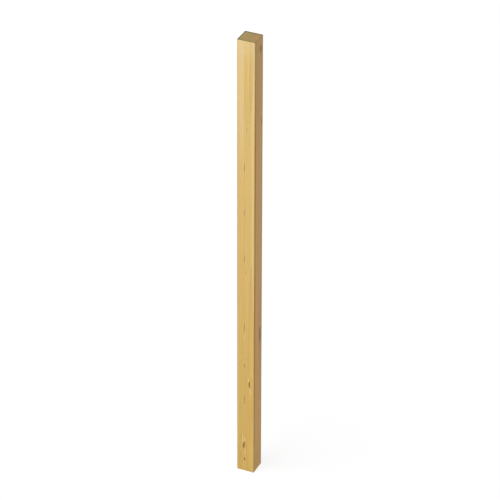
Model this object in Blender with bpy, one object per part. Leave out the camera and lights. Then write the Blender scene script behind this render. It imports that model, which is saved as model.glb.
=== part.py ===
"""Square timber post: planed softwood, pressure treated and cut square at both ends.

Metres, +Z up. The post stands on its foot, with the origin at the centre of the foot.
The front face looks along -Y and the right face along +X.
"""

import math

import bmesh
import bpy
from mathutils import Matrix

# Timber
SECTION = 0.090
LENGTH = 2.400
ARRIS_RADIUS = 0.002
ARRIS_SEGMENTS = 4

# Drying checks, which are splits along the grain with a V section
CHECK_OPENING = 0.002
CHECK_DEPTH = 0.006
CHECK_SIDES = 4

# Knots whose dark core has dried back below the face, with a round section
KNOT_DEPTH = 0.002
KNOT_SIDES = 12

# Rings of points from end to end of a check or a knot
HOLLOW_RINGS = 10

# Degrees that each face is turned from the front face, about the post's own axis
FACES = {"front": 0, "right": 90, "back": 180, "left": 270}

# Each check: its place across the face as a share of the section, from the left as seen from
# outside, its height as a share of the length, and its own length in metres
CHECKS = {
    "front": (
        (0.424, 0.723, 0.044),
        (0.427, 0.621, 0.031),
        (0.430, 0.516, 0.045),
        (0.435, 0.353, 0.048),
        (0.438, 0.261, 0.025),
        (0.440, 0.177, 0.048),
    ),
    "right": (
        (0.693, 0.975, 0.050),
        (0.869, 0.816, 0.051),
        (0.690, 0.326, 0.100),
    ),
    "back": (
        (0.360, 0.790, 0.090),
        (0.620, 0.420, 0.140),
    ),
    "left": (
        (0.560, 0.640, 0.110),
        (0.300, 0.240, 0.070),
    ),
}

# Each knot: places as for a check, then its length and width in metres and its lean in degrees
KNOTS = {
    "front": (
        (0.735, 0.217, 0.034, 0.007, 0),
        (0.413, 0.064, 0.037, 0.009, 8),
        (0.445, 0.029, 0.016, 0.006, 0),
    ),
    "back": (
        (0.300, 0.560, 0.026, 0.010, -6),
    ),
    "left": (
        (0.680, 0.870, 0.022, 0.009, 5),
    ),
}


def clear_scene():
    for old in list(bpy.data.objects):
        bpy.data.objects.remove(old)


def make_object(name, shape):
    """Turns a bmesh into an object in the scene and frees the bmesh."""
    mesh = bpy.data.meshes.new(name)
    shape.to_mesh(mesh)
    shape.free()
    made = bpy.data.objects.new(name, mesh)
    bpy.context.scene.collection.objects.link(made)
    return made


def make_timber_material():
    """Cream-yellow planed pine, dull."""
    material = bpy.data.materials.new("treated_timber")
    material.use_nodes = True
    shader = material.node_tree.nodes["Principled BSDF"]
    shader.inputs["Base Color"].default_value = (0.66, 0.44, 0.17, 1)
    shader.inputs["Roughness"].default_value = 0.65
    shader.inputs["Metallic"].default_value = 0
    return material


def make_blank():
    """The square length of timber, with its four long edges rounded by the planer."""
    shape = bmesh.new()
    bmesh.ops.create_cube(
        shape,
        size=1,
        matrix=Matrix.Translation((0, 0, LENGTH / 2))
        @ Matrix.Diagonal((SECTION, SECTION, LENGTH, 1)),
    )
    long_edges = [
        edge for edge in shape.edges if edge.verts[0].co.z != edge.verts[1].co.z
    ]
    bmesh.ops.bevel(
        shape,
        geom=long_edges,
        affect="EDGES",
        offset=ARRIS_RADIUS,
        offset_type="OFFSET",
        segments=ARRIS_SEGMENTS,
        profile=0.5,
    )
    blank = make_object("timber_post", shape)
    blank.data.shade_smooth()
    blank.data.set_sharp_from_angle(angle=math.radians(40))
    return blank


def place_on_face(face, across, up, lean=0):
    """The matrix of a point on a face: X across it to the right, Y into the timber, Z up."""
    return (
        Matrix.Rotation(math.radians(FACES[face]), 4, "Z")
        @ Matrix.Translation(((across - 0.5) * SECTION, -SECTION / 2, up * LENGTH))
        @ Matrix.Rotation(math.radians(lean), 4, "Y")
    )


def add_hollow(shape, place, length, width, depth, sides):
    """A closed spindle along the grain, half of it sunk below the face."""
    bmesh.ops.create_uvsphere(
        shape,
        u_segments=sides,
        v_segments=HOLLOW_RINGS,
        radius=1,
        matrix=place @ Matrix.Diagonal((width / 2, depth, length / 2, 1)),
    )


def make_hollows():
    """All the checks and knots as one cutter."""
    shape = bmesh.new()
    for face, checks in CHECKS.items():
        for across, up, length in checks:
            place = place_on_face(face, across, up)
            add_hollow(shape, place, length, CHECK_OPENING, CHECK_DEPTH, CHECK_SIDES)
    for face, knots in KNOTS.items():
        for across, up, length, width, lean in knots:
            place = place_on_face(face, across, up, lean)
            add_hollow(shape, place, length, width, KNOT_DEPTH, KNOT_SIDES)
    hollows = make_object("hollows", shape)
    hollows.hide_render = True
    hollows.display_type = "WIRE"
    return hollows


def cut(solid, cutter):
    modifier = solid.modifiers.new("checks_and_knots", "BOOLEAN")
    modifier.operation = "DIFFERENCE"
    modifier.solver = "EXACT"
    modifier.use_self = True
    modifier.object = cutter


def main():
    clear_scene()
    post = make_blank()
    cut(post, make_hollows())
    post.data.materials.append(make_timber_material())


main()
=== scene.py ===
"""The looks of a square timber post: planed softwood, pressure treated and cut square.

Metres, +Z up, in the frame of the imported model. The front face looks along -Y and the right
face along +X.
"""

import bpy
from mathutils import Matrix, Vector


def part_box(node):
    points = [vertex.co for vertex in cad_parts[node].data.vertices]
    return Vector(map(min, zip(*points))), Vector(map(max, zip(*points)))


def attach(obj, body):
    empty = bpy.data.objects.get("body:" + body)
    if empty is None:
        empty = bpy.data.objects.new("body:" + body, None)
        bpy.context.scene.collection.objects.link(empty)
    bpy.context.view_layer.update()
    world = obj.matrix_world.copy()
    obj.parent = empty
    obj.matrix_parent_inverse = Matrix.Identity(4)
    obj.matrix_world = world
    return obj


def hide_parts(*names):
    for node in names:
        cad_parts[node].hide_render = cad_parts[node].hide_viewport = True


bl_info = {
    "name": "Square timber post",
    "version": (1, 0, 0),
    "blender": (4, 5, 0),
    "location": "3D View > Sidebar > Timber",
    "description": "A planed, pressure-treated softwood post on a white studio floor",
    "category": "Object",
}

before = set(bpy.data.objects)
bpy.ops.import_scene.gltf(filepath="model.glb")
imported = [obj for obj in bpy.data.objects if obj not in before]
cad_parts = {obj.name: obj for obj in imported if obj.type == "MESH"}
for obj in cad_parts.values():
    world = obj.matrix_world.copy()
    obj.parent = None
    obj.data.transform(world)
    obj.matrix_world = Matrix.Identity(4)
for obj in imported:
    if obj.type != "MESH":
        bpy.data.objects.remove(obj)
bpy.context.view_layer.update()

import math
from collections import namedtuple

import bmesh
import bpy
import numpy as np
from bpy.props import FloatProperty, FloatVectorProperty, PointerProperty
from mathutils import Matrix, Vector

NODE = "timber_post"
PIECE = "treated_post"
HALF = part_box(NODE)[1].x
SECTION = 2 * HALF
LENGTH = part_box(NODE)[1].z

# Quarter turns of each face from the front face, about the post's own axis
FACES = {"front": 0, "right": 1, "back": 2, "left": 3}

# Checks, which are splits along the grain: face, place across it as a share of the section from
# the left as seen from outside, height as a share of the length, and length in metres
CHECKS = (
    ("front", 0.424, 0.723, 0.044),
    ("front", 0.427, 0.621, 0.031),
    ("front", 0.430, 0.516, 0.045),
    ("front", 0.435, 0.353, 0.048),
    ("front", 0.438, 0.261, 0.025),
    ("front", 0.440, 0.177, 0.048),
    ("right", 0.693, 0.975, 0.050),
    ("right", 0.869, 0.816, 0.051),
    ("right", 0.690, 0.326, 0.100),
    ("back", 0.360, 0.790, 0.090),
    ("back", 0.620, 0.420, 0.140),
    ("left", 0.560, 0.640, 0.110),
    ("left", 0.300, 0.240, 0.070),
)

# Knots with a dried-back core: places as above, then length and width in metres, and lean in
# degrees
KNOTS = (
    ("front", 0.735, 0.217, 0.034, 0.007, 0),
    ("front", 0.413, 0.064, 0.037, 0.009, 8),
    ("front", 0.445, 0.029, 0.016, 0.006, 0),
    ("back", 0.300, 0.560, 0.026, 0.010, -6),
    ("left", 0.680, 0.870, 0.022, 0.009, 5),
)

# Streaks in the wood: face, places as above, length and width in metres, tint and strength. A
# streak that is longer than the post runs all along it, with its ends fading outside
STREAKS = (
    ("front", 0.05, 0.50, 3.60, 0.013, "greyed", 0.32),
    ("front", 0.00, 0.50, 3.60, 0.008, "stain", 0.16),
    ("front", 0.24, 0.92, 1.00, 0.032, "cream_and_highlight", 0.40),
    ("front", 0.43, 0.62, 1.60, 0.007, "brown_resin_and_shade", 0.10),
    ("front", 0.45, 0.93, 0.70, 0.010, "brown_resin_and_shade", 0.10),
    ("front", 0.57, 0.86, 1.20, 0.010, "yellow", 0.30),
    ("front", 0.70, 0.72, 1.80, 0.018, "olive", 0.25),
    # The next two cream lines follow the front's edge with the right face: a painted highlight on
    # the rounded edge
    ("front", 0.93, 0.62, 2.60, 0.010, "cream_and_highlight", 0.22),
    ("front", 0.96, 0.94, 0.70, 0.012, "cream_and_highlight", 0.40),
    ("front", 0.50, 1.00, 0.200, 0.120, "cream_and_highlight", 0.34),
    ("front", 0.28, 1.00, 0.360, 0.020, "cream_and_highlight", 0.38),
    ("front", 0.12, 0.00, 0.450, 0.030, "brown_resin_and_shade", 0.11),
    ("front", 0.50, 0.617, 0.38, 0.005, "brown_resin_and_shade", 0.15),
    ("front", 0.54, 0.809, 0.026, 0.005, "brown_resin_and_shade", 0.30),
    ("front", 0.51, 0.483, 0.028, 0.005, "brown_resin_and_shade", 0.25),
    ("front", 0.53, 0.228, 0.055, 0.005, "brown_resin_and_shade", 0.20),
    ("front", 0.85, 0.229, 0.015, 0.0045, "brown_resin_and_shade", 0.45),
    ("front", 0.87, 0.074, 0.014, 0.006, "brown_resin_and_shade", 0.30),
    ("front", 0.25, 0.083, 0.070, 0.005, "brown_resin_and_shade", 0.30),
    ("front", 0.25, 0.037, 0.038, 0.005, "brown_resin_and_shade", 0.30),
    ("front", 0.57, 0.058, 0.046, 0.005, "brown_resin_and_shade", 0.30),
    ("front", 0.68, 0.2275, 0.021, 0.0065, "cream_and_highlight", 0.72),
    ("front", 0.77, 0.200, 0.052, 0.011, "cream_and_highlight", 0.30),
    ("front", 0.48, 0.049, 0.052, 0.009, "cream_and_highlight", 0.28),
    ("front", 0.44, 0.0755, 0.022, 0.0075, "cream_and_highlight", 0.72),
    ("front", 0.32, 0.080, 0.080, 0.007, "cream_and_highlight", 0.45),
    ("front", 0.44, 0.328, 0.028, 0.006, "cream_and_highlight", 0.50),
    ("front", 0.18, 0.155, 0.070, 0.012, "red", 0.22),
    ("front", 0.69, 0.085, 0.034, 0.014, "orange", 0.25),
    ("front", 0.69, 0.029, 0.034, 0.014, "orange", 0.25),
    ("front", 0.64, 0.010, 0.160, 0.012, "brown_resin_and_shade", 0.12),
    ("front", 0.87, 0.070, 0.420, 0.012, "cream_and_highlight", 0.14),
    # Amber along the right face's edge with the front: painted shade of the rounded edge
    ("right", 0.085, 0.50, 3.60, 0.018, "amber_edge_shade", 0.25),
    ("right", 0.078, 0.50, 3.60, 0.0125, "amber_edge_shade", 0.90),
    ("right", 0.080, 0.75, 0.60, 0.012, "amber_edge_shade", 0.45),
    ("right", 0.17, 0.72, 0.70, 0.012, "amber_edge_shade", 0.22),
    ("right", 0.15, 0.985, 0.120, 0.030, "olive", 0.60),
    # The next two: full-width brown darkening the right face towards its top and at its foot,
    # painted shade
    ("right", 0.50, 0.930, 0.900, 0.120, "brown_resin_and_shade", 0.15),
    ("right", 0.50, 0.000, 0.400, 0.120, "brown_resin_and_shade", 0.13),
    ("right", 0.16, 0.040, 0.300, 0.024, "olive", 0.30),
    ("right", 0.30, 0.540, 0.560, 0.045, "olive", 0.28),
    ("right", 0.70, 0.340, 0.700, 0.018, "brown_resin_and_shade", 0.14),
    # Full-width brown at the right face's top: painted shade
    ("right", 0.50, 0.985, 0.080, 0.120, "brown_resin_and_shade", 0.08),
    # Brown over the right face's checks: painted shade of the cracks
    ("right", 0.71, 0.975, 0.056, 0.020, "brown_resin_and_shade", 0.75),
    ("right", 0.88, 0.816, 0.056, 0.012, "brown_resin_and_shade", 0.55),
    ("right", 0.74, 0.326, 0.112, 0.018, "brown_resin_and_shade", 0.90),
    ("right", 0.47, 0.238, 0.030, 0.008, "brown_resin_and_shade", 0.30),
    ("right", 0.52, 0.62, 2.30, 0.018, "red", 0.25),
    ("right", 0.70, 0.22, 1.20, 0.016, "red", 0.20),
    ("right", 0.97, 0.50, 3.60, 0.012, "olive", 0.25),
    ("right", 0.98, 0.92, 0.60, 0.014, "stain", 0.35),
    ("right", 0.94, 0.42, 2.40, 0.024, "stain", 0.22),
    ("back", 0.35, 0.40, 1.80, 0.016, "cream_and_highlight", 0.35),
    ("back", 0.62, 0.52, 2.20, 0.008, "brown_resin_and_shade", 0.15),
    ("back", 0.75, 0.65, 1.50, 0.014, "olive", 0.30),
    ("left", 0.30, 0.60, 1.70, 0.015, "cream_and_highlight", 0.35),
    ("left", 0.52, 0.45, 2.40, 0.009, "brown_resin_and_shade", 0.15),
    ("left", 0.80, 0.35, 1.90, 0.014, "yellow", 0.35),
)

# Stains on a cut end: places along X and Y as shares of the section from the axis, sizes along
# X and Y in metres, tint and strength
END_STAINS = (
    (-0.50, 0.00, 0.015, 0.300, "stain", 0.90),
    (-0.36, 0.10, 0.026, 0.100, "olive", 0.20),
    (-0.18, -0.08, 0.030, 0.060, "red", 0.42),
    (0.32, 0.12, 0.044, 0.066, "red", 0.42),
    (0.00, 0.50, 0.400, 0.022, "rim", 0.75),
    (0.00, -0.50, 0.300, 0.017, "rim", 0.40),
)

# Hairline splits of a cut end: heading from the log's middle in radians, and where each starts
# and stops, from the middle in metres
END_SPLITS = (
    (2.75, 0.003, 0.040),
    (-1.95, 0.002, 0.026),
    (0.60, 0.001, 0.012),
)

# Dents along the long edges: quarter turns of the edge, height as a share of the length, and
# length and depth in metres
DENTS = (
    (0, 0.912, 0.016, 0.0006),
    (0, 0.447, 0.022, 0.0005),
    (0, 0.118, 0.014, 0.0007),
    (1, 0.735, 0.020, 0.0006),
    (1, 0.268, 0.015, 0.0005),
    (2, 0.655, 0.024, 0.0007),
    (2, 0.155, 0.018, 0.0006),
    (3, 0.838, 0.015, 0.0006),
    (3, 0.372, 0.021, 0.0006),
    (3, 0.061, 0.013, 0.0007),
)

# Mesh columns across a check or a knot, in half widths from its middle, and the least gap
ACROSS_STEPS = (-1.5, -1, -0.65, -0.3, 0, 0.3, 0.65, 1, 1.5)
COLUMN_GAP = 0.0003

# Mesh rows along a check or a knot and along a dent, in half lengths, and the least gap
ALONG_STEPS = (-1.08, -0.99, -0.9, -0.7, -0.4, 0, 0.4, 0.7, 0.9, 0.99, 1.08)
DENT_STEPS = (-1, -0.5, 0, 0.5, 1)
ROW_GAP = 0.0012

# Steps round a long edge, rings of mesh on a cut end as shares of its rim, and the angle in
# degrees above which an edge is shaded as sharp
ARRIS_STEPS = 6
END_RINGS = (0.985, 0.94, 0.86, 0.74, 0.6, 0.45, 0.3, 0.15)
SHARP_ANGLE = 38

# Waves along the height: radians in a metre, share, and how many times the phase counts
BOW_WAVES = ((math.tau / 1.9, 0.3, 1), (math.tau / 0.53, 0.2, 2))
RUB_WAVES = ((math.tau / 0.61, 0.6, 1), (math.tau / 0.173, 0.4, 3))
STRAY_WAVES = ((190, 1, 1), (470, 0.6, 2))
OPENING_WAVES = ((330, 0.20, 3),)
OPENING_MIDDLE = 0.80

# Phases that make these waves differ from face to face, edge to edge and check to check
FACE_PHASE = 1.7
EDGE_PHASE = 2.1
CHECK_PHASE_UP = 40
CHECK_PHASE_ACROSS = 900

# The map: share of its width that the four long faces take, where the upper end's square starts,
# and the gap between them
MAP_STRIP = 0.80
MAP_MIDDLE = 0.5
MAP_GAP = 0.02

Hollow = namedtuple("Hollow", "face across up half_width half_length depth lean is_check")
Column = namedtuple("Column", "kind which place spot outward run")


def length_setting(name, description, default):
    """A length in metres."""
    return FloatProperty(name=name, description=description, default=default, unit="LENGTH")


def angle_setting(name, description, degrees):
    """An angle, given in degrees."""
    turn = math.radians(degrees)
    return FloatProperty(name=name, description=description, default=turn, subtype="ANGLE")


def number_setting(name, description, default):
    return FloatProperty(name=name, description=description, default=default)


def colour_setting(name, description, default):
    return FloatVectorProperty(
        name=name, description=description, default=default, size=3, min=0, max=1, subtype="COLOR"
    )


class TimberSizes(bpy.types.PropertyGroup):
    """Sizes of the planed timber."""

    arris_radius: length_setting("Arris radius", "Round along the four long edges", 0.002)
    arris_wear: length_setting("Arris wear", "How unevenly the long edges are rubbed", 0.0003)
    end_ease: length_setting("End ease", "Rubbed edge round each saw cut", 0.0006)
    hollowing: length_setting("Hollowing", "How far the faces dried out of flat", 0.00015)
    check_opening: length_setting("Check opening", "Widest opening of a check", 0.002)
    check_depth: length_setting("Check depth", "Depth of a check", 0.006)
    check_wander: length_setting("Check wander", "How far a check strays from straight", 0.0003)
    knot_depth: length_setting("Knot depth", "How far a knot's core has dried back", 0.002)
    column_pitch: length_setting("Column pitch", "Widest gap between mesh columns", 0.0045)
    row_pitch: length_setting("Row pitch", "Widest gap between mesh rows", 0.016)
    check_row_pitch: length_setting("Check row pitch", "Gap between rows along a check", 0.004)


class TimberColours(bpy.types.PropertyGroup):
    """Colours of the wood."""

    earlywood: colour_setting("Earlywood", "Wide part of a growth ring", (0.648, 0.411, 0.103))
    # Lighter top of the long faces: partly the wood's tone, partly painted light that falls off
    # down the post
    pale_and_lit_top: colour_setting("Pale earlywood", "Drier wood at the top", (0.841, 0.588, 0.220))
    heartwood: colour_setting("Heartwood", "Wood near the log's middle", (0.692, 0.383, 0.117))
    latewood: colour_setting("Latewood", "Narrow part of a growth ring", (0.500, 0.300, 0.080))
    end_earlywood: colour_setting("End earlywood", "Wide rings on an end", (0.442, 0.353, 0.136))
    end_latewood: colour_setting("End latewood", "Narrow rings on an end", (0.360, 0.235, 0.090))
    knot_core: colour_setting("Knot core", "Dark middle of a knot", (0.260, 0.145, 0.050))
    knot_rim: colour_setting("Knot rim", "Tight wood round a knot", (0.420, 0.240, 0.080))
    # Also paints the highlight along the front's edge with the right face
    cream_and_highlight: colour_setting("Cream streak", "Streak with little resin", (0.860, 0.660, 0.350))
    yellow: colour_setting("Yellow streak", "Sapwood streak", (0.720, 0.510, 0.150))
    olive: colour_setting("Olive streak", "Streak with more preservative", (0.540, 0.430, 0.130))
    greyed: colour_setting("Greyed streak", "Streak greyed by the weather", (0.550, 0.500, 0.260))
    # Also paints shade in the checks and over parts of the right face
    brown_resin_and_shade: colour_setting("Brown streak", "Resin streak", (0.300, 0.160, 0.045))
    red: colour_setting("Red streak", "Heartwood streak", (0.560, 0.290, 0.140))
    orange: colour_setting("Orange streak", "Resin-rich patch", (0.700, 0.340, 0.080))
    # Painted shade along the long edge between the front and the right face
    amber_edge_shade: colour_setting("Amber edge", "Resin along one long edge", (0.428, 0.188, 0.002))
    rim: colour_setting("End rim", "Grime round the rim of an end", (0.190, 0.135, 0.060))
    stain: colour_setting("Stain", "Green trace of preservative", (0.120, 0.140, 0.070))


class TimberGrain(bpy.types.PropertyGroup):
    """Growth of the log that the post was sawn from, and the pitch of planer and saw marks."""

    ring_pitch: length_setting("Ring pitch", "Wood grown in one year", 0.0046)
    pith_across: length_setting("Pith across", "From the axis to the pith along X", 0.030)
    pith_back: length_setting("Pith back", "From the axis to the pith along Y", 0.010)
    heart_radius: length_setting("Heart radius", "From the pith to the sapwood", 0.047)
    heart_fade: length_setting("Heart fade", "Half the width of the heartwood's edge", 0.005)
    knot_bulge: length_setting("Knot bulge", "How far rings bulge round a knot", 0.0055)
    planer_pitch: length_setting("Planer pitch", "Gap between the planer's cutter marks", 0.0022)
    saw_pitch: length_setting("Saw pitch", "Gap between saw marks on a cut end", 0.0024)


class StudioSettings(bpy.types.PropertyGroup):
    """Floor, light and camera."""

    floor_colour: colour_setting("Floor", "Dull, so that shadows stay faint", (0.16, 0.16, 0.16))
    floor_radius: length_setting("Floor radius", "Radius of the floor", 60)
    floor_drop: length_setting("Floor drop", "Gap between the foot and the floor", 0.0002)
    floor_glow: number_setting("Floor glow", "Lift that keeps the floor white", 0.872)
    sky_strength: number_setting("Sky strength", "Even light from all round", 0.20)
    key_strength: number_setting("Key strength", "Main light", 2.54)
    key_spread: angle_setting("Key spread", "Width of the main light seen from the post", 50)
    key_azimuth: angle_setting("Key azimuth", "Main light's turn left of the front face", 35)
    key_elevation: angle_setting("Key elevation", "Main light above the horizon", 55)
    azimuth: angle_setting("Azimuth", "Camera's turn right of the front face", 24.53)
    elevation: angle_setting("Elevation", "Camera above the horizon", 32.11)
    roll: angle_setting("Roll", "Camera's tilt about its line of sight", 0.138)
    distance: length_setting("Distance", "Camera to the point that it looks at", 13.714)
    aim_height: length_setting("Aim height", "Height of the point looked at", 1.2625)
    aim_aside: length_setting("Aim aside", "How far right of the axis that point is", 0.00195)
    lens: number_setting("Lens", "Focal length in millimetres", 208.8)
    sensor: number_setting("Sensor", "Width of the sensor in millimetres", 36)
    view_reach: length_setting("View reach", "How far the camera sees", 200)


# Shape of the post


def across_of(share):
    """Metres from the middle of a face, for a share of the section from its left."""
    return (share - 0.5) * SECTION


def waves(up, parts, phase):
    """Waves of several lengths along the height, added up."""
    return sum(share * np.sin(up * turn + times * phase) for turn, share, times in parts)


def stations(low, high, pitch, wanted, nearest):
    """Places from low to high: the wanted ones, at least nearest apart, and even ones between."""
    kept = [low, high]
    even = np.arange(low + pitch, high, pitch)
    for places, gap in ((sorted(wanted), nearest), (even, pitch / 2)):
        for place in places:
            if low < place < high and min(abs(place - other) for other in kept) >= gap:
                kept.append(float(place))
    return np.array(sorted(kept))


def hollows(sizes):
    """Every check and knot, with its sizes in metres and its lean as a slope."""
    found = []
    for face, across, up, length in CHECKS:
        half_width = sizes.check_opening / 2
        place = (face, across_of(across), up * LENGTH)
        found.append(Hollow(*place, half_width, length / 2, sizes.check_depth, 0, True))
    for face, across, up, length, width, lean in KNOTS:
        slope = math.tan(math.radians(lean))
        place = (face, across_of(across), up * LENGTH)
        found.append(Hollow(*place, width / 2, length / 2, sizes.knot_depth, slope, False))
    return found


def face_columns(face, sizes):
    """Places of the mesh columns across a face, close together beside its checks and knots."""
    reach = HALF - sizes.arris_radius
    wanted = [
        hollow.across + step * hollow.half_width
        for hollow in hollows(sizes)
        if hollow.face == face
        for step in ACROSS_STEPS
    ]
    return stations(-reach, reach, sizes.column_pitch, wanted, COLUMN_GAP)


def mesh_rows(sizes):
    """Heights of the mesh rows between the two eased rims."""
    wanted = []
    for hollow in hollows(sizes):
        wanted += [hollow.up + step * hollow.half_length for step in ALONG_STEPS]
        if hollow.is_check:
            low, high = hollow.up - hollow.half_length, hollow.up + hollow.half_length
            wanted += list(np.arange(low, high, sizes.check_row_pitch))
    for _, up, length, _ in DENTS:
        wanted += [up * LENGTH + step * length / 2 for step in DENT_STEPS]
    return stations(sizes.end_ease, LENGTH - sizes.end_ease, sizes.row_pitch, wanted, ROW_GAP)


def sunk(face, across, up, sizes):
    """How deep each point of a face lies in the checks, which are V-shaped, and the knots."""
    depth = np.zeros(np.broadcast(across, up).shape)
    for hollow in hollows(sizes):
        if hollow.face != face:
            continue
        room = np.clip(1 - ((up - hollow.up) / hollow.half_length) ** 2, 0, None)
        if hollow.is_check:
            phase = CHECK_PHASE_UP * hollow.up + CHECK_PHASE_ACROSS * hollow.across
            stray = sizes.check_wander * waves(up, STRAY_WAVES, phase)
            room = room * (OPENING_MIDDLE + waves(up, OPENING_WAVES, phase))
            aside = np.abs(across - hollow.across - stray) / hollow.half_width
            share = np.clip(np.sqrt(room) - aside, 0, None)
        else:
            stray = (up - hollow.up) * hollow.lean
            aside = np.abs(across - hollow.across - stray) / hollow.half_width
            share = np.sqrt(np.clip(room - aside**2, 0, None))
        depth = np.maximum(depth, hollow.depth * share)
    return depth


def out_of_flat(face, across, up, sizes):
    """How far a dried face has hollowed, least at its edges."""
    bow = 1 + waves(up, BOW_WAVES, FACE_PHASE * FACES[face])
    return sizes.hollowing * np.cos(math.pi * across / SECTION) * bow


def edge_wear(edge, up, sizes):
    """How far a long edge is rubbed away and dented at each height."""
    wear = sizes.arris_wear * (1 + waves(up, RUB_WAVES, EDGE_PHASE * edge)) / 2
    for on, height, length, depth in DENTS:
        if on == edge:
            along = (up - height * LENGTH) / (length / 2)
            wear = wear + depth * np.clip(1 - along**2, 0, None)
    return wear


def section_columns(sizes):
    """The mesh columns round the section, and the length all the way round.

    A column is on a face or an edge. Its place is the one across the face, or for an edge the
    share of the edge's wear. Its spot and outward direction are seen from above.
    """
    radius = sizes.arris_radius
    inner = HALF - radius
    arc = [math.pi / 2 * step / ARRIS_STEPS for step in range(1, ARRIS_STEPS)]
    columns = []
    run = 0.0
    for face, turns in FACES.items():
        turn = Matrix.Rotation(turns * math.pi / 2, 2)
        outward = turn @ Vector((0, -1))
        for place in face_columns(face, sizes):
            spot = turn @ Vector((place, -HALF))
            columns.append(Column("face", face, place, spot, outward, run + place + inner))
        run += 2 * inner
        for angle in arc:
            outward = Vector((math.sin(angle), -math.cos(angle)))
            spot = turn @ (Vector((inner, -inner)) + radius * outward)
            share = math.sin(2 * angle)
            columns.append(Column("edge", turns, share, spot, turn @ outward, run + radius * angle))
        run += radius * math.pi / 2
    return columns, run


def side_points(columns, heights, insets, sizes):
    """Points of the long faces, as rows of columns."""
    points = np.empty((len(heights), len(columns), 3))
    for index, column in enumerate(columns):
        if column.kind == "face":
            across = np.array(column.place)
            depth = sunk(column.which, across, heights, sizes)
            depth = depth + out_of_flat(column.which, across, heights, sizes)
        else:
            depth = column.place * edge_wear(column.which, heights, sizes)
        depth = depth + insets
        points[:, index, 0] = column.spot.x - column.outward.x * depth
        points[:, index, 1] = column.spot.y - column.outward.y * depth
        points[:, index, 2] = heights
    return points


def side_faces(runs, heights):
    """Quads of the long faces, and their places on the map."""
    around = len(runs) - 1
    side_u = np.array(runs) / runs[-1] * MAP_STRIP
    side_v = heights / LENGTH
    faces = []
    maps = []
    for row in range(len(heights) - 1):
        low, high = row * around, (row + 1) * around
        v0, v1 = side_v[row], side_v[row + 1]
        for column in range(around):
            after = (column + 1) % around
            faces.append((low + column, low + after, high + after, high + column))
            u0, u1 = side_u[column], side_u[column + 1]
            maps.append(((u0, v0), (u1, v0), (u1, v1), (u0, v1)))
    return faces, maps


def end_map(point, low):
    """Place on the map of a point on a cut end, whose square starts at the height low."""
    return (
        MAP_STRIP + MAP_GAP + (point[0] / SECTION + 0.5) * (1 - MAP_STRIP - MAP_GAP),
        low + (point[1] / SECTION + 0.5) * (MAP_MIDDLE - MAP_GAP / 2),
    )


def add_end(points, faces, maps, rim, low, upward):
    """Closes an end, from the numbers of its rim's points, with rings of quads and a fan."""

    def add_face(corners):
        corners = corners if upward else corners[::-1]
        faces.append(corners)
        maps.append(tuple(end_map(points[corner], low) for corner in corners))

    around = len(rim)
    outline = [points[index] for index in rim]
    for share in END_RINGS:
        ring = list(range(len(points), len(points) + around))
        points += [(x * share, y * share, z) for x, y, z in outline]
        for index in range(around):
            after = (index + 1) % around
            add_face((rim[index], rim[after], ring[after], ring[index]))
        rim = ring
    centre = len(points)
    points.append((0, 0, outline[0][2]))
    for index in range(around):
        add_face((rim[index], rim[(index + 1) % around], centre))


def make_post_mesh(sizes):
    """The whole post as one closed mesh, with the map that lays its faces side by side."""
    columns, run = section_columns(sizes)
    around = len(columns)
    ease = sizes.end_ease
    # The rubbed rim is a quarter round of two facets that meet at this height and inset
    bend = ease * (1 - math.sqrt(0.5))
    heights = np.concatenate([[0, bend], mesh_rows(sizes), [LENGTH - bend, LENGTH]])
    insets = np.zeros(len(heights))
    insets[[0, -1]] = ease
    insets[[1, -2]] = bend
    side = side_points(columns, heights, insets, sizes)
    points = [tuple(point) for point in side.reshape(-1, 3)]
    faces, maps = side_faces([column.run for column in columns] + [run], heights)
    foot = list(range(around))
    add_end(points, faces, maps, foot, 0, False)
    top = [(len(heights) - 1) * around + column for column in foot]
    add_end(points, faces, maps, top, MAP_MIDDLE + MAP_GAP / 2, True)

    mesh = bpy.data.meshes.new(PIECE)
    mesh.from_pydata(points, [], faces)
    layer = mesh.uv_layers.new(name="OFBake")
    corners = [corner for face in maps for corner in face]
    layer.data.foreach_set("uv", np.array(corners, np.float32).ravel())
    mesh.validate()
    mesh.shade_smooth()
    mesh.set_sharp_from_angle(angle=math.radians(SHARP_ANGLE))
    return mesh


# Finish of the post

# Patterns in the wood: scale along X, Y and Z, then detail and roughness where they matter
FIBRE = ((900, 900, 14), 3, 0.6)
THREAD = ((240, 240, 3.2), 3, 0.55)
BAND = ((70, 70, 0.55),)
HUE = ((40, 40, 0.8),)
FLECKS = ((1150, 1150, 60), 1)
CELLS = ((1400, 1400, 1), 3, 0.65)
PATCHES = ((38, 38, 1),)
RAYS = ((1, 1, 1), 2)
FLECK_EDGE = (0.66, 0.72)
RAY_SCALES = (90, 160)

# Noise that shakes a place: its scale along X, Y and Z, and its reach in metres
RING_SHAKE = ((14, 14, 1.6), (0.006, 0.006, 0))
MARK_SHAKE = ((170, 170, 22), (0.003, 0.003, 0.008))

# How the pith wanders along the post, along X and along Y: reach in metres, scale and start
PITH_WANDER_X = (0.010, 0.9, 0)
PITH_WANDER_Y = (0.008, 0.7, 7.3)

# How unevenly the rings grew, in years, and the scale of that
RING_UNEVENNESS = 1.3
RING_UNEVEN_SCALE = 55

# Latewood: shares of a year between which it darkens and then ends, and the least in any year
LATE_RISE = (0.40, 0.90)
LATE_FALL = (1.0, 0.955)
LATE_LEAST = 0.55

# Marks on the long faces: times their width, times their length, and depth in metres
STREAK_REACH = (1.35, 1.1, 0.008)
CHECK_SHADE_REACH = (1, 0.97, 0.03)
KNOT_REACH = (1, 1, 0.02)
KNOT_SPLIT_REACH = (0.13, 0.75, 0.02)
KNOT_BULGE_REACH = (5, 3.2, 0.05)
# Width of the painted shade inside a check
CHECK_SHADE_WIDTH = 0.0020

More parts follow.
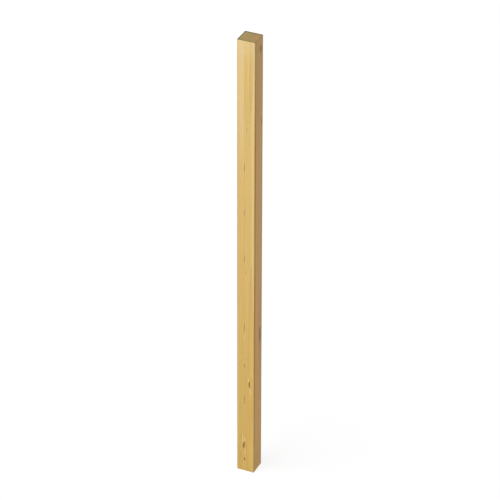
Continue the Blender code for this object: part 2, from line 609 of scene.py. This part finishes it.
# Soft edges of marks, from nothing to full, where 1 is the mark's own edge
STREAK_EDGE = (1, 0.35)
CHECK_SHADE_EDGE = (1, 0.8)
KNOT_RIM_EDGE = (1.8, 1.05)
KNOT_CORE_EDGE = (1.1, 0.9)
KNOT_RINGS_EDGE = (1.05, 0.95)
KNOT_SPLIT_EDGE = (1, 0.6)
KNOT_BULGE_EDGE = (1, 0)
END_STAIN_EDGE = (1, 0.6)

# Hairline splits in the ends: wander and its scale, edges in metres, and fade at both ends
SPLIT_WANDER = 0.25
SPLIT_WANDER_SCALE = 180
SPLIT_EDGE = (0.0004, 0.0001)
SPLIT_FADE_IN = 0.002
SPLIT_FADE_OUT = 0.006

# Shares of the length between which earlywood turns lighter upwards, partly its tone and partly
# painted light
PALE_AND_LIT_RANGE = (-0.10, 1.10)

# Most of each colour that is mixed into the wood
HEART_SHARE = 0.80
LATE_SHARE = 0.38
HUE_SHARE = 0.8
# The share for the checks is painted shade
CHECK_SHADE_SHARE = 0.45
KNOT_RIM_SHARE = 0.50
KNOT_CORE_SHARE = 0.80
KNOT_SPLIT_SHARE = 0.7
END_LATE_SHARE = 0.85
END_HEART_SHARE = 0.14
END_SPLIT_SHARE = 0.75

# A knot's own rings: radians from its middle to its edge, and how much they lighten
KNOT_RINGS = 19
KNOT_RING_TONE = 0.14

# How much each pattern lightens the colour, adds to the roughness or raises the surface
WOOD_TONES = {"fibre": 0.16, "thread": 0.14, "band": 0.10, "flecks": -0.26}
END_TONES = {"cells": 0.34, "patches": 0.25, "rays": 0.18}
ROUGHNESS = 0.60
ROUGHNESS_CHANGES = {"fibre": 0.10, "thread": 0.08, "late": -0.06, "cut": 0.22}
PLANED_RELIEF = {"late": 0.10, "fibre": 0.12, "thread": 0.10, "cutter": 0.012}
SAWN_RELIEF = {"blade": 0.06, "cells": 0.14, "late": 0.08, "split": -0.5}
RELIEF_HEIGHT = 0.001
RELIEF_STRENGTH = 0.8
SPECULAR = 0.22

# Saw marks: shares of X and Y across them, and how much the patches bend them, in radians
SAW_ACROSS = (0.94, 0.34)
SAW_BEND = 5

# Distances from an end between which a planed face turns into the cut end
CUT_BAND = (0.0011, 0.0004)


class Wire:
    """An output socket of a shader tree. Arithmetic on numbers adds Math nodes."""

    def __init__(self, tree, socket=None):
        self.tree = tree
        self.socket = socket

    def node(self, kind, settings, inputs, output=0):
        """Adds a node: its settings are set first, then its sockets get their values or wires."""
        made = self.tree.nodes.new(kind)
        for name, value in settings.items():
            setattr(made, name, value)
        for name, value in inputs.items():
            if isinstance(value, Wire):
                self.tree.links.new(value.socket, made.inputs[name])
            else:
                made.inputs[name].default_value = value
        return Wire(self.tree, made.outputs[output])

    def sibling(self, output):
        """Another output of the node that this one comes from."""
        return Wire(self.tree, self.socket.node.outputs[output])

    def maths(self, operation, *values):
        return self.node("ShaderNodeMath", {"operation": operation}, dict(enumerate(values)))

    def __add__(self, other):
        return self.maths("ADD", self, other)

    def __radd__(self, other):
        return self.maths("ADD", other, self)

    def __sub__(self, other):
        return self.maths("SUBTRACT", self, other)

    def __rsub__(self, other):
        return self.maths("SUBTRACT", other, self)

    def __mul__(self, other):
        return self.maths("MULTIPLY", self, other)

    def __rmul__(self, other):
        return self.maths("MULTIPLY", other, self)

    def __truediv__(self, other):
        return self.maths("DIVIDE", self, other)

    def through(self, operation):
        """This number, put through an operation that takes one number."""
        return self.maths(operation, self)

    def clipped(self):
        """This number, kept between 0 and 1."""
        return self.node("ShaderNodeClamp", {}, {"Value": self})

    def eased(self, start, stop):
        """0 where this number is start, 1 where it is stop, eased between."""
        return self.node(
            "ShaderNodeMapRange",
            {"interpolation_type": "SMOOTHSTEP", "clamp": False},
            {"Value": self, "From Min": start, "From Max": stop},
        )

    def noise_along(self):
        """Noise from -0.5 to 0.5 along this number."""
        inputs = {"W": self, "Scale": 1, "Detail": 1}
        return self.node("ShaderNodeTexNoise", {"noise_dimensions": "1D"}, inputs) - 0.5

    def mixed(self, first, second):
        """The first colour where this number is 0, the second where it is 1."""
        return self.node("ShaderNodeMix", {"data_type": "RGBA"}, {0: self, 6: first, 7: second}, 2)

    def vector_maths(self, operation, second, output=0):
        inputs = {0: self, 1: second}
        return self.node("ShaderNodeVectorMath", {"operation": operation}, inputs, output)

    def stretched(self, x, y, z):
        return self.vector_maths("MULTIPLY", (x, y, z))

    def noise(self, scale, detail=2.0, roughness=0.5, output=0):
        """Noise over this place, with its own scale along each axis."""
        place = self.stretched(*scale)
        inputs = {"Vector": place, "Scale": 1, "Detail": detail, "Roughness": roughness}
        return self.node("ShaderNodeTexNoise", {"noise_dimensions": "3D"}, inputs, output)

    def shaken(self, scale, reach):
        """This place, moved about by noise, at most half of reach along each axis."""
        shift = self.noise(scale, output="Color").vector_maths("SUBTRACT", (0.5, 0.5, 0.5))
        return self.vector_maths("ADD", shift.stretched(*reach))

    def split_up(self):
        """This place's X, Y and Z."""
        x = self.node("ShaderNodeSeparateXYZ", {}, {0: self}, "X")
        return x, x.sibling("Y"), x.sibling("Z")

    def toned(self, tone):
        """This colour, made lighter or darker by a number."""
        return self.node("ShaderNodeVectorMath", {"operation": "SCALE"}, {0: self, "Scale": tone})

    def tinted(self, share, colour):
        """This colour with a share of another."""
        return share.mixed(self, full(colour))


def full(colour):
    """This colour with full alpha."""
    return (*colour, 1)


def weighed(start, weights, patterns):
    """The start, plus each pattern that has a weight, times that weight."""
    total = start
    for name, weight in weights.items():
        total = total + weight * patterns[name]
    return total


def nearness(place, centre, size):
    """Distance from the middle of an upright mark, where 1 is the mark's own edge.

    One node places the mark, because the renderer has room for few values in one material.
    """
    stretch = Vector(2 / side for side in size)
    shift = Vector(-at * times for at, times in zip(centre, stretch))
    inputs = {0: place, 1: stretch, 2: shift}
    inside = place.node("ShaderNodeVectorMath", {"operation": "MULTIPLY_ADD"}, inputs)
    return inside.vector_maths("LENGTH", (0, 0, 0), "Value")


def leaning_nearness(place, centre, size, turn, lean):
    """The same distance for a mark that leans to one side on its face."""
    inputs = {
        "Vector": place,
        "Location": centre,
        "Rotation": (0, math.radians(lean), turn),
        "Scale": tuple(side / 2 for side in size),
    }
    inside = place.node("ShaderNodeMapping", {"vector_type": "TEXTURE"}, inputs)
    return inside.vector_maths("LENGTH", (0, 0, 0), "Value")


def near_mark(place, mark, reach, lean=0.0):
    """Distance from the middle of a mark on a long face, where 1 is the mark's own edge."""
    face, across, up, length, width = mark
    times_width, times_length, depth = reach
    turn = FACES[face] * math.pi / 2
    about = Matrix.Rotation(turn, 3, "Z")
    centre = about @ Vector((across_of(across), -HALF, up * LENGTH))
    size = Vector((times_width * width, depth, times_length * length))
    if lean:
        return leaning_nearness(place, centre, size, turn, lean)
    return nearness(place, centre, [abs(side) for side in about @ size])


def wander(height, reach, scale, start):
    """How far the pith has wandered at this height."""
    return reach * (height * scale + start).noise_along()


def growth_rings(place, grain):
    """Shares of latewood and heartwood, and distance and direction from the pith.

    The grain swells round each knot.
    """
    x, y, z = place.shaken(*RING_SHAKE).split_up()
    x = x - grain.pith_across + wander(z, *PITH_WANDER_X)
    y = y - grain.pith_back + wander(z, *PITH_WANDER_Y)
    radius = (x * x + y * y).through("SQRT")
    for *mark, lean in KNOTS:
        near = near_mark(place, mark, KNOT_BULGE_REACH, lean)
        radius = radius + grain.knot_bulge * near.eased(*KNOT_BULGE_EDGE)
    uneven = RING_UNEVENNESS * (radius * RING_UNEVEN_SCALE).noise_along()
    ring = radius / grain.ring_pitch + uneven
    grown = ring.through("FRACT")
    year = ring.through("FLOOR")
    dry = year.node("ShaderNodeTexWhiteNoise", {"noise_dimensions": "1D"}, {"W": year}, "Value")
    late = grown.eased(*LATE_RISE) * grown.eased(*LATE_FALL)
    late = late * (LATE_LEAST + (1 - LATE_LEAST) * dry)
    inside, outside = grain.heart_radius - grain.heart_fade, grain.heart_radius + grain.heart_fade
    return {
        "late": late,
        "heart": radius.eased(outside, inside),
        "radius": radius,
        "angle": y.maths("ARCTAN2", y, x),
    }


def face_patterns(place):
    """Noise that runs along the grain of the long faces."""
    return {
        "fibre": place.noise(*FIBRE) - 0.5,
        "thread": place.noise(*THREAD) - 0.5,
        "band": place.noise(*BAND) - 0.5,
        "hue": place.noise(*HUE) - 0.5,
        "flecks": place.noise(*FLECKS).eased(*FLECK_EDGE),
    }


def end_patterns(place, radius, angle):
    """Open cells, patches, rays from the pith and hairline splits on the cut ends."""
    across, along = RAY_SCALES
    polar = radius.node("ShaderNodeCombineXYZ", {}, {0: angle * across, 1: radius * along})
    split = None
    for heading, near_pith, far in END_SPLITS:
        off = angle - heading + SPLIT_WANDER * (radius * SPLIT_WANDER_SCALE).noise_along()
        line = (off.through("ABSOLUTE") * radius).eased(*SPLIT_EDGE)
        line = line * radius.eased(near_pith, near_pith + SPLIT_FADE_IN)
        line = line * radius.eased(far, far - SPLIT_FADE_OUT)
        split = line if split is None else split + line
    return {
        "cells": place.noise(*CELLS) - 0.5,
        "patches": place.noise(*PATCHES) - 0.5,
        "rays": polar.noise(*RAYS) - 0.5,
        "split": split,
    }


def long_faces(place, height, patterns, colours):
    """Colour of the planed faces: earlywood and latewood, streaks, knots, and painted shade in the
    checks.
    """
    # Lighter towards the top: partly the wood's tone, partly painted light falling off down the
    # post
    low, high = PALE_AND_LIT_RANGE
    paler_and_lit = height.eased(low * LENGTH, high * LENGTH)
    wood = paler_and_lit.mixed(full(colours.earlywood), full(colours.pale_and_lit_top))
    wood = wood.tinted(HEART_SHARE * patterns["heart"], colours.heartwood)
    wood = wood.tinted(LATE_SHARE * patterns["late"], colours.latewood)
    wood = wood.tinted((HUE_SHARE * patterns["hue"]).clipped(), colours.red)
    wood = wood.tinted((-HUE_SHARE * patterns["hue"]).clipped(), colours.olive)

    ragged = place.shaken(*MARK_SHAKE)
    for *mark, tint, strength in STREAKS:
        near = near_mark(ragged, mark, STREAK_REACH)
        wood = wood.tinted(strength * near.eased(*STREAK_EDGE), getattr(colours, tint))
    wood = wood.toned(weighed(1, WOOD_TONES, patterns))

    # Painted shade inside each check, in brown
    for check in CHECKS:
        near = near_mark(place, (*check, CHECK_SHADE_WIDTH), CHECK_SHADE_REACH)
        wood = wood.tinted(CHECK_SHADE_SHARE * near.eased(*CHECK_SHADE_EDGE), colours.brown_resin_and_shade)
    for *mark, lean in KNOTS:
        near = near_mark(ragged, mark, KNOT_REACH, lean)
        wood = wood.tinted(KNOT_RIM_SHARE * near.eased(*KNOT_RIM_EDGE), colours.knot_rim)
        wood = wood.tinted(KNOT_CORE_SHARE * near.eased(*KNOT_CORE_EDGE), colours.knot_core)
        rings = (near * KNOT_RINGS).through("SINE")
        wood = wood.toned(1 + KNOT_RING_TONE * near.eased(*KNOT_RINGS_EDGE) * rings)
        split = near_mark(ragged, mark, KNOT_SPLIT_REACH, lean)
        wood = wood.tinted(KNOT_SPLIT_SHARE * split.eased(*KNOT_SPLIT_EDGE), colours.brown_resin_and_shade)
    return wood


def cut_ends(place, patterns, colours):
    """Colour of the sawn ends, with rings, rays, open cells, stains and hairline splits."""
    late = END_LATE_SHARE * patterns["late"]
    end = late.mixed(full(colours.end_earlywood), full(colours.end_latewood))
    end = end.tinted(END_HEART_SHARE * patterns["heart"], colours.red)
    flat = place.stretched(1, 1, 0)
    for x, y, width, depth, tint, strength in END_STAINS:
        near = nearness(flat, (x * SECTION, y * SECTION, 0), (width, depth, 1))
        end = end.tinted(strength * near.eased(*END_STAIN_EDGE), getattr(colours, tint))
    end = end.toned(weighed(1, END_TONES, patterns))
    return end.tinted(END_SPLIT_SHARE * patterns["split"], colours.knot_core)


def make_timber_finish(colours, grain):
    """Planed pine: growth rings, streaks, knots and checks through the wood, and cut ends."""
    material = bpy.data.materials.new("treated_pine")
    material.use_nodes = True
    tree = material.node_tree
    shader = tree.nodes["Principled BSDF"]
    place = Wire(tree).node("ShaderNodeTexCoord", {}, {}, "Object")
    x, y, z = place.split_up()

    patterns = growth_rings(place, grain)
    patterns.update(face_patterns(place))
    patterns.update(end_patterns(place, patterns["radius"], patterns["angle"]))
    wood = long_faces(place, z, patterns, colours)
    end = cut_ends(place, patterns, colours)
    far, near = CUT_BAND
    cut = z.eased(LENGTH - far, LENGTH - near) + z.eased(far, near)
    tree.links.new(cut.mixed(wood, end).socket, shader.inputs["Base Color"])

    across_x, across_y = SAW_ACROSS
    saw = (across_x * x + across_y * y) * (math.tau / grain.saw_pitch)
    patterns["blade"] = (saw + SAW_BEND * patterns["patches"]).through("SINE")
    patterns["cutter"] = (z * (math.tau / grain.planer_pitch)).through("SINE")
    patterns["cut"] = cut
    rough = weighed(ROUGHNESS, ROUGHNESS_CHANGES, patterns)
    tree.links.new(rough.socket, shader.inputs["Roughness"])

    planed = weighed(0, PLANED_RELIEF, patterns)
    sawn = weighed(0, SAWN_RELIEF, patterns)
    relief = planed * (1 - cut) + sawn * cut
    inputs = {"Height": relief, "Distance": RELIEF_HEIGHT, "Strength": RELIEF_STRENGTH}
    bump = relief.node("ShaderNodeBump", {}, inputs, "Normal")
    tree.links.new(bump.socket, shader.inputs["Normal"])
    shader.inputs["Specular IOR Level"].default_value = SPECULAR
    return material


class TIMBER_OT_post(bpy.types.Operator):
    """Build the timber post with its checks, knots, worn edges and grain"""

    bl_idname = "timber.post"
    bl_label = "Timber post"

    def execute(self, context):
        scene = context.scene
        post = bpy.data.objects.new(PIECE, make_post_mesh(scene.timber_sizes))
        scene.collection.objects.link(post)
        post.data.materials.append(make_timber_finish(scene.timber_colours, scene.timber_grain))
        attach(post, "root")
        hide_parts(NODE)
        return {"FINISHED"}


# Stage

FLOOR_SIDES = 96
FLOOR_ROUGHNESS = 0.9


def direction(turn, lift):
    """Direction out from the post: turned right of the front face, lifted above the horizon."""
    level = math.cos(lift)
    return Vector((math.sin(turn) * level, -math.cos(turn) * level, math.sin(lift)))


def make_floor(studio):
    """A round, dull floor whose glow makes it white, so that it takes only a faint shadow."""
    shape = bmesh.new()
    radius = studio.floor_radius
    bmesh.ops.create_circle(shape, cap_ends=True, segments=FLOOR_SIDES, radius=radius)
    mesh = bpy.data.meshes.new("floor")
    shape.to_mesh(mesh)
    shape.free()
    floor = bpy.data.objects.new("floor", mesh)
    floor.location.z = -studio.floor_drop
    bpy.context.scene.collection.objects.link(floor)
    material = bpy.data.materials.new("pale_floor")
    material.use_nodes = True
    shader = material.node_tree.nodes["Principled BSDF"]
    shader.inputs["Base Color"].default_value = full(studio.floor_colour)
    shader.inputs["Roughness"].default_value = FLOOR_ROUGHNESS
    shader.inputs["Specular IOR Level"].default_value = 0
    shader.inputs["Emission Color"].default_value = (1, 1, 1, 1)
    shader.inputs["Emission Strength"].default_value = studio.floor_glow
    mesh.materials.append(material)


def make_sky(studio):
    """Even white light, seen as plain white behind the floor."""
    world = bpy.data.worlds.new("studio")
    world.use_nodes = True
    tree = world.node_tree
    background = tree.nodes["Background"]
    background.inputs["Color"].default_value = (1, 1, 1, 1)
    seen = Wire(tree).node("ShaderNodeLightPath", {}, {}, "Is Camera Ray")
    strength = studio.sky_strength + seen * (1 - studio.sky_strength)
    tree.links.new(strength.socket, background.inputs["Strength"])
    bpy.context.scene.world = world


def make_key_light(studio):
    """A wide, soft light from the front left."""
    lamp = bpy.data.lights.new("key", "SUN")
    lamp.energy = studio.key_strength
    lamp.angle = studio.key_spread
    towards = direction(-studio.key_azimuth, studio.key_elevation)
    key = bpy.data.objects.new("key", lamp)
    key.rotation_euler = towards.to_track_quat("Z", "Y").to_euler()
    bpy.context.scene.collection.objects.link(key)


def make_camera(studio):
    """Looks at the post from above the top end, from the front right."""
    back = direction(studio.azimuth, studio.elevation)
    aside = Vector((math.cos(studio.azimuth), math.sin(studio.azimuth), 0))
    aim = Vector((0, 0, studio.aim_height)) + aside * studio.aim_aside
    facing = back.to_track_quat("Z", "Y").to_matrix() @ Matrix.Rotation(studio.roll, 3, "Z")
    data = bpy.data.cameras.new("camera")
    data.lens = studio.lens
    data.sensor_width = studio.sensor
    data.clip_end = studio.view_reach
    camera = bpy.data.objects.new("camera", data)
    camera.matrix_world = Matrix.Translation(aim + back * studio.distance) @ facing.to_4x4()
    bpy.context.scene.collection.objects.link(camera)
    bpy.context.scene.camera = camera


class TIMBER_OT_stage(bpy.types.Operator):
    """Set up the white floor, the soft studio light and the camera"""

    bl_idname = "timber.stage"
    bl_label = "Studio stage"

    def execute(self, context):
        studio = context.scene.timber_studio
        make_floor(studio)
        make_sky(studio)
        make_key_light(studio)
        make_camera(studio)
        context.scene.view_settings.view_transform = "Standard"
        return {"FINISHED"}


SETTINGS = (
    ("timber_sizes", TimberSizes),
    ("timber_colours", TimberColours),
    ("timber_grain", TimberGrain),
    ("timber_studio", StudioSettings),
)


class TIMBER_PT_panel(bpy.types.Panel):
    """Sizes, colours and steps of the timber post"""

    bl_idname = "TIMBER_PT_panel"
    bl_label = "Timber post"
    bl_space_type = "VIEW_3D"
    bl_region_type = "UI"
    bl_category = "Timber"

    def draw(self, context):
        layout = self.layout
        for name, _ in SETTINGS:
            box = layout.box()
            settings = getattr(context.scene, name)
            for key in settings.bl_rna.properties.keys():
                if key not in ("rna_type", "name"):
                    box.prop(settings, key)
        layout.operator(TIMBER_OT_post.bl_idname)
        layout.operator(TIMBER_OT_stage.bl_idname)


TOOLS = (TIMBER_OT_post, TIMBER_OT_stage, TIMBER_PT_panel)


def register():
    for name, group in SETTINGS:
        bpy.utils.register_class(group)
        setattr(bpy.types.Scene, name, PointerProperty(type=group))
    for tool in TOOLS:
        bpy.utils.register_class(tool)


def unregister():
    for tool in reversed(TOOLS):
        bpy.utils.unregister_class(tool)
    for name, group in reversed(SETTINGS):
        delattr(bpy.types.Scene, name)
        bpy.utils.unregister_class(group)


def main():
    register()
    bpy.ops.timber.post()
    bpy.ops.timber.stage()


if __name__ == "__main__":
    main()
